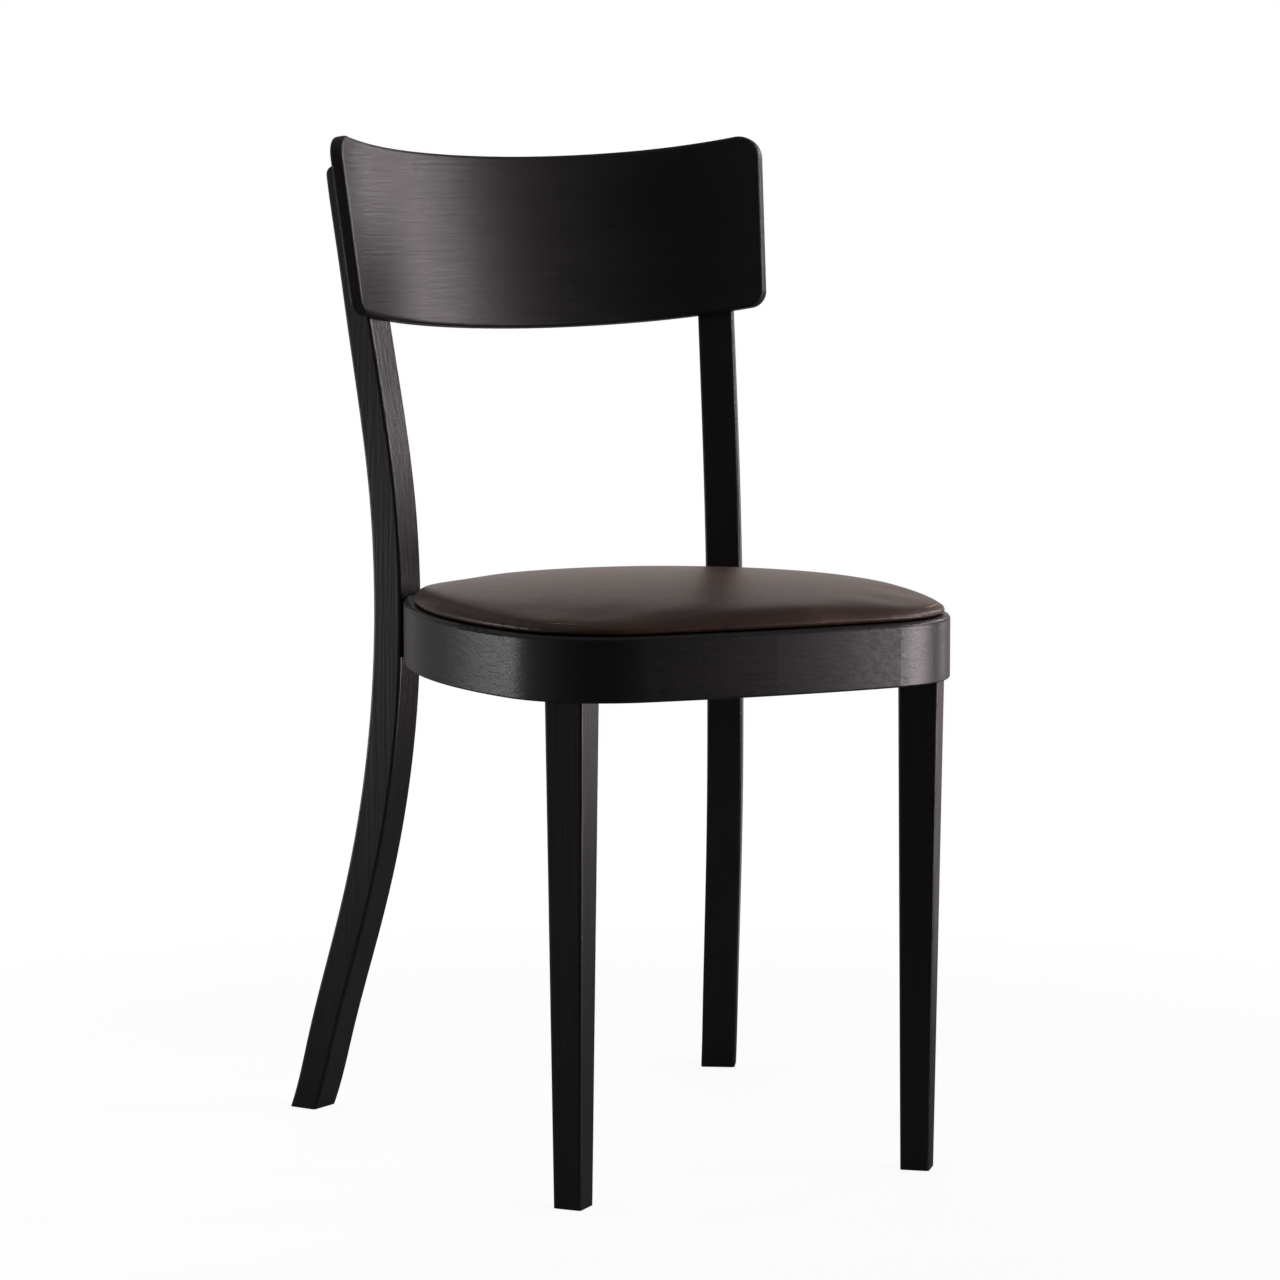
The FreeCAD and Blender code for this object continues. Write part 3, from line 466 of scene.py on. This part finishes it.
class CHAIR_OT_stage(bpy.types.Operator):
    """Camera at the photograph's angle, pale floor, white studio and soft lamps"""
    bl_idname = "chair.stage"
    bl_label = "Stage"

    # Banks of gridded softboxes: name, distance, height, width and height of each face, and sRGB
    # hex colour. Each box then has its direction round the chair in degrees from +X, the place
    # that it is aimed at, the angle in degrees that its grid leaves open, and its level.
    banks = (
        ("bank", 2.0, 1.4, 0.35, 0.8, "#fff3f7", (
            (16, BACKREST, 30, 0.46),
            (6, BACKREST, 30, 0.11),
            (-14, BACKREST, 30, 0.33),
            (-24, BACKREST, 30, 0.74),
            (-34, BACKREST, 30, 0.11))),
        ("low right", 2.0, 0.22, 0.35, 0.34, "#fff3f7", (
            (10, RING_FRONT, 14, 0.036),
            (-20, RING_FRONT, 14, 0.075),
            (-30, LEGS, 50, 1.30),
            (-40, LEGS, 50, 1.45),
            (-50, LEGS, 50, 0.32))),
        ("low left", 2.2, 0.28, 0.38, 0.40, "#ffffff", (
            (134, LEGS, 50, 0.18),
            (142, LEGS, 50, 0.3),
            (152, LEGS, 50, 0.62))),
    )
    # Parts of the curved backdrop: direction, tightness, level and sRGB hex colour of each
    backdrops = (
        ((0.44, 0.90, 0.0), 12, 0.90, "#fff1ec"),
        ((0.80, 0.60, 0.0), 8, 0.15, "#fff1ec"),
        ((-0.44, 0.90, 0.0), 6, 0.08, "#ffffff"),
        ((-1.0, 0.10, 0.0), 6, 0.20, "#ffffff"),
    )

    def execute(self, context):
        settings = context.scene.chair_stage
        scene = context.scene
        scene.view_settings.view_transform = "Standard"
        self.add_camera(scene, settings)
        self.add_floor(settings)
        for bank in self.banks:
            self.add_bank(*bank)
        self.add_overhead(settings)
        scene.world = self.studio(settings)
        return {"FINISHED"}

    def add_camera(self, scene, settings):
        data = bpy.data.cameras.new("camera")
        data.lens = settings.lens
        data.sensor_width = 36.0
        camera = bpy.data.objects.new("camera", data)
        scene.collection.objects.link(camera)
        camera.location = settings.camera_place
        camera.rotation_euler = Vector(settings.camera_way).to_track_quat("-Z", "Y").to_euler()
        scene.camera = camera

    def add_bank(self, bank, distance, height, width, tall, tint, boxes):
        """Softboxes of one size round the chair; a level is the brightness of the face."""
        for number, (direction, aimed_at, beam, level) in enumerate(boxes, start=1):
            name = f"{bank} {number}"
            data = bpy.data.lights.new(name, "AREA")
            data.shape = "RECTANGLE"
            data.size = width
            data.size_y = tall
            data.spread = math.radians(beam)
            data.energy = level * math.pi * width * tall
            data.color = hex_to_linear(tint)[:3]
            lamp = bpy.data.objects.new(name, data)
            bpy.context.scene.collection.objects.link(lamp)
            angle = math.radians(direction)
            lamp.location = (distance * math.cos(angle), distance * math.sin(angle), height)
            way = Vector(aimed_at) - lamp.location
            lamp.rotation_euler = way.to_track_quat("-Z", "Y").to_euler()

    def add_overhead(self, settings):
        data = bpy.data.lights.new("overhead light", "SUN")
        data.energy = settings.sky_power
        data.angle = settings.sky_width
        lamp = bpy.data.objects.new("overhead light", data)
        bpy.context.scene.collection.objects.link(lamp)
        lamp.rotation_euler = Vector(settings.sky_way).to_track_quat("-Z", "Y").to_euler()

    def add_floor(self, settings):
        bpy.ops.mesh.primitive_circle_add(vertices=96, radius=settings.floor_radius,
                                          fill_type="NGON")
        floor = bpy.context.active_object
        floor.name = "floor"
        dress(floor, self.floor_board(settings))

    def floor_board(self, settings):
        """Matt painted board that fades into the white of the backdrop towards its edge."""
        material, tree = new_material("pale studio floor")
        place = add_node(tree, "TexCoord").outputs["Object"]
        cloud = add_node(tree, "TexNoise", {"Scale": 1.5, "Detail": 2.0}, {"Vector": place})
        rough = add_node(tree, "MapRange", {"To Min": 0.85, "To Max": 0.95},
                         {"Value": cloud.outputs["Fac"]})
        board = add_node(tree, "BsdfPrincipled",
                         {"Base Color": hex_to_linear(settings.floor_colour),
                          "Specular IOR Level": 0.1},
                         {"Roughness": rough.outputs[0]})
        # To the eye, through glass and, more dimly, in a gloss the floor is as white as the
        # backdrop, and it keeps the chair's shadow
        path = add_node(tree, "LightPath")
        mirrored = add_node(tree, "Math", {"operation": "MULTIPLY", 1: settings.mirrored_lift},
                            {0: path.outputs["Is Glossy Ray"]})
        seen = add_node(tree, "Math", {"operation": "MAXIMUM"},
                        {0: seen_directly(tree, path), 1: mirrored.outputs[0]})
        level = add_node(tree, "Math", {"operation": "MULTIPLY", 1: settings.floor_lift},
                         {0: seen.outputs[0]})
        lift = add_node(tree, "Emission", {"Color": (1, 1, 1, 1)}, {"Strength": level.outputs[0]})
        lifted = add_node(tree, "AddShader", links={0: board.outputs[0], 1: lift.outputs[0]})
        radius = add_node(tree, "VectorMath", {"operation": "LENGTH"}, {0: place})
        edge = add_node(tree, "MapRange",
                        {"interpolation_type": "SMOOTHSTEP",
                         "From Min": settings.plain_share * settings.floor_radius,
                         "From Max": settings.floor_radius},
                        {"Value": radius.outputs["Value"]})
        clear = add_node(tree, "BsdfTransparent")
        faded = add_node(tree, "MixShader",
                         links={0: edge.outputs[0], 1: lifted.outputs[0], 2: clear.outputs[0]})
        finish_material(tree, faded)
        return material

    def studio(self, settings):
        """White to the eye; as light, a lit backdrop behind the chair and a dim room before it."""
        world = bpy.data.worlds.new("studio")
        world.use_nodes = True
        tree = world.node_tree
        tree.nodes.clear()
        place = add_node(tree, "TexCoord").outputs["Generated"]
        start, source = {2: (settings.dim_side,) * 3}, {}
        for direction, tightness, strength, tint in self.backdrops:
            facing = add_node(tree, "VectorMath",
                              {"operation": "DOT_PRODUCT", 1: Vector(direction).normalized()},
                              {0: place})
            towards = add_node(tree, "Math", {"operation": "MAXIMUM", 1: 0.0},
                               {0: facing.outputs["Value"]})
            lobe = add_node(tree, "Math", {"operation": "POWER", 1: tightness},
                            {0: towards.outputs[0]})
            full = [strength * channel for channel in hex_to_linear(tint)[:3]]
            light = add_node(tree, "VectorMath", {"operation": "MULTIPLY_ADD", 1: full, **start},
                             {0: lobe.outputs[0], **source})
            start, source = {}, {2: light.outputs[0]}
        walls = add_node(tree, "Background", {"Strength": 1.0}, {"Color": source[2]})
        white = add_node(tree, "Background", {"Color": (1, 1, 1, 1), "Strength": 1.0})
        path = add_node(tree, "LightPath")
        mixed = add_node(tree, "MixShader",
                         links={0: seen_directly(tree, path), 1: walls.outputs[0],
                                2: white.outputs[0]})
        add_node(tree, "OutputWorld", links={"Surface": mixed.outputs[0]})
        return world


class CHAIR_OT_beech_frame(bpy.types.Operator):
    """Black-stained beech on the legs, the bent seat ring and the screw plugs"""
    bl_idname = "chair.beech_frame"
    bl_label = "Beech frame"

    def execute(self, context):
        wood = context.scene.chair_wood
        # Black stain under satin lacquer: a near black that shows the grain in its sheen
        tones = (wood.stain_dark, wood.stain_light, wood.stain_fleck)
        ring_middle = sum(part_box("seat_ring"), Vector()) / 2
        upright = beech("black-stained beech, upright grain", *tones, rising_grain,
                        FRAME_GLOSS, FRAME_RELIEF)
        bent = beech("black-stained beech, bent grain", *tones,
                     lambda tree: bent_grain(tree, ring_middle.y, wood.ring_radius),
                     FRAME_GLOSS, FRAME_RELIEF)
        for name in ("front_leg_left", "front_leg_right", "rear_leg_left", "rear_leg_right",
                     "backrest_screw_plugs"):
            dress(NODES[name], upright)
        dress(NODES["seat_ring"], bent)
        return {"FINISHED"}


class CHAIR_OT_backrest(bpy.types.Operator):
    """Black-stained moulded plywood on the backrest panel"""
    bl_idname = "chair.backrest"
    bl_label = "Backrest"

    def execute(self, context):
        wood = context.scene.chair_wood
        low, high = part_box("backrest_panel")
        centre_y = high.y - wood.back_radius
        # The same stain and lacquer on a pressed veneer: a softer sheen than on the frame
        tones = (wood.stain_dark, wood.stain_light, wood.stain_fleck)
        panel = beech("black-stained moulded plywood", *tones,
                      lambda tree: bent_grain(tree, centre_y, wood.back_radius),
                      PANEL_GLOSS, PANEL_RELIEF)
        dress(NODES["backrest_panel"], panel)
        return {"FINISHED"}


class CHAIR_OT_seat_pad(bpy.types.Operator):
    """Foam pad under brown leather, swollen by its foam and drawn down on its board"""
    bl_idname = "chair.seat_pad"
    bl_label = "Seat pad"

    def execute(self, context):
        seat = context.scene.chair_seat
        pad = copy_of("seat_cover", "seat_pad")
        bpy.ops.object.mode_set(mode="EDIT")
        bpy.ops.mesh.select_all(action="SELECT")
        bpy.ops.mesh.convex_hull()
        bpy.ops.mesh.normals_make_consistent(inside=False)
        bpy.ops.object.mode_set(mode="OBJECT")
        pad.data.remesh_voxel_size = seat.voxel
        pad.data.remesh_voxel_adaptivity = 0.0
        bpy.ops.object.voxel_remesh()
        self.hold_hem(pad, seat)
        self.swell(pad, seat)
        self.soften(pad, seat)
        bpy.ops.object.shade_smooth()
        dress(pad, leather("brown upholstery leather", seat.leather_dark, seat.leather_light))
        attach(pad, "root")
        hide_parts("seat_cover", "seat_foam")
        return {"FINISHED"}

    def hold_hem(self, pad, seat):
        """Groups: the hem that the board holds, and the rest that the foam can push."""
        height = vertex_places(pad)[:, 2]
        is_hem = height < height.min() + seat.hem
        hem = pad.vertex_groups.new(name="hem")
        hem.add(np.flatnonzero(is_hem).tolist(), 1.0, "REPLACE")
        free = pad.vertex_groups.new(name="free")
        free.add(np.flatnonzero(~is_hem).tolist(), 1.0, "REPLACE")

    def swell(self, pad, seat):
        """Cloth under pressure; each point's way is capped and evened out with its neighbours'."""
        rest = vertex_places(pad)
        ends = np.empty(len(pad.data.edges) * 2, dtype=int)
        pad.data.edges.foreach_get("vertices", ends)
        cloth = pad.modifiers.new("cloth", "CLOTH")
        cloth.settings.vertex_group_mass = "hem"
        cloth.settings.use_pressure = True
        cloth.settings.uniform_pressure_force = seat.pressure
        cloth.settings.effector_weights.gravity = 0.0
        scene = bpy.context.scene
        for step in range(seat.frames):
            scene.frame_set(step + 1)
        select_only(pad)
        bpy.ops.object.modifier_apply(modifier="cloth")
        scene.frame_set(1)
        way = vertex_places(pad) - rest
        length = np.linalg.norm(way, axis=1, keepdims=True)
        way *= seat.swell / np.maximum(length, seat.swell)
        near, far = ends.reshape(-1, 2).T
        for _ in range(seat.evening):
            total = way.copy()
            number = np.ones((len(way), 1))
            for here, there in ((near, far), (far, near)):
                np.add.at(total, here, way[there])
                np.add.at(number, here, 1.0)
            way = total / number
        pad.data.vertices.foreach_set("co", (rest + way).ravel())
        pad.data.update()

    def soften(self, pad, seat):
        """Rounds the shoulder as foam does, then halves the faces."""
        shoulder = pad.modifiers.new("shoulder", "SMOOTH")
        shoulder.factor = 0.5
        shoulder.iterations = seat.softness
        shoulder.vertex_group = "free"
        finer = pad.modifiers.new("finer", "SUBSURF")
        finer.levels = finer.render_levels = 1
        apply_modifiers(pad)
        pad.vertex_groups.clear()


class CHAIR_OT_dust_cover(bpy.types.Operator):
    """Black spunbond cloth stretched under the pad"""
    bl_idname = "chair.dust_cover"
    bl_label = "Dust cover"

    def execute(self, context):
        seat = context.scene.chair_seat
        cloth = copy_of("dust_cover", "dust_cloth")
        dress(cloth, spunbond_cloth("black spunbond cloth", seat.cloth_colour))
        low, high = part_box("dust_cover")
        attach(cloth, "root")
        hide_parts("dust_cover")
        sheet_area(cloth, high.z - low.z)
        return {"FINISHED"}


class CHAIR_OT_fastenings(bpy.types.Operator):
    """Bare wood, zinc-plated steel and brass on the pieces under the seat"""
    bl_idname = "chair.fastenings"
    bl_label = "Blocks and fastenings"

    # Planed wood without a finish is pale, dull and a little open; plated and turned metal is
    # bright with a soft gloss
    beech_tones = ("#b98a5c", "#cfa376", "#a8754a")
    birch_tones = ("#cdb083", "#dcc59b", "#bb9a6b")
    zinc_tone = "#b9bcc0"
    brass_tone = "#c8a04e"

    def execute(self, context):
        bare = beech("bare planed beech", *self.beech_tones, rising_grain, (0.55, 0.7),
                     FRAME_RELIEF)
        ply = beech("bare birch plywood", *self.birch_tones, rising_grain, (0.5, 0.65),
                    FRAME_RELIEF)
        zinc = plated_metal("zinc-plated steel", self.zinc_tone, (0.25, 0.4))
        brass = plated_metal("turned brass", self.brass_tone, (0.2, 0.35))
        finishes = (
            (bare, ("front_corner_block_left", "front_corner_block_right",
                    "rear_corner_block_left", "rear_corner_block_right")),
            (ply, ("seat_board",)),
            (zinc, ("cover_staples", "corner_block_screws", "seat_screws", "rear_leg_bolts",
                    "rear_leg_washers", "backrest_screws")),
            (brass, ("rear_leg_inserts",)),
        )
        for material, names in finishes:
            for name in names:
                dress(NODES[name], material)
        return {"FINISHED"}


class CHAIR_PT_panel(bpy.types.Panel):
    """Sidebar panel with the chair's settings and operators"""
    bl_idname = "CHAIR_PT_panel"
    bl_label = "Bistro chair"
    bl_space_type = "VIEW_3D"
    bl_region_type = "UI"
    bl_category = "Chair"

    def draw(self, context):
        scene = context.scene
        for settings in (scene.chair_stage, scene.chair_wood, scene.chair_seat):
            for name in settings.__annotations__:
                self.layout.prop(settings, name)
        for operator in OPERATORS:
            self.layout.operator(operator.bl_idname)


SETTINGS = (StageSettings, WoodSettings, SeatSettings)
OPERATORS = (CHAIR_OT_stage, CHAIR_OT_beech_frame, CHAIR_OT_backrest, CHAIR_OT_seat_pad,
             CHAIR_OT_dust_cover, CHAIR_OT_fastenings)


def register():
    for item in (*SETTINGS, *OPERATORS, CHAIR_PT_panel):
        bpy.utils.register_class(item)
    bpy.types.Scene.chair_stage = bpy.props.PointerProperty(type=StageSettings)
    bpy.types.Scene.chair_wood = bpy.props.PointerProperty(type=WoodSettings)
    bpy.types.Scene.chair_seat = bpy.props.PointerProperty(type=SeatSettings)


def unregister():
    del bpy.types.Scene.chair_seat
    del bpy.types.Scene.chair_wood
    del bpy.types.Scene.chair_stage
    for item in reversed((*SETTINGS, *OPERATORS, CHAIR_PT_panel)):
        bpy.utils.unregister_class(item)


def main():
    register()
    bpy.ops.chair.stage()
    bpy.ops.chair.beech_frame()
    bpy.ops.chair.backrest()
    bpy.ops.chair.seat_pad()
    bpy.ops.chair.dust_cover()
    bpy.ops.chair.fastenings()


if __name__ == "__main__":
    main()
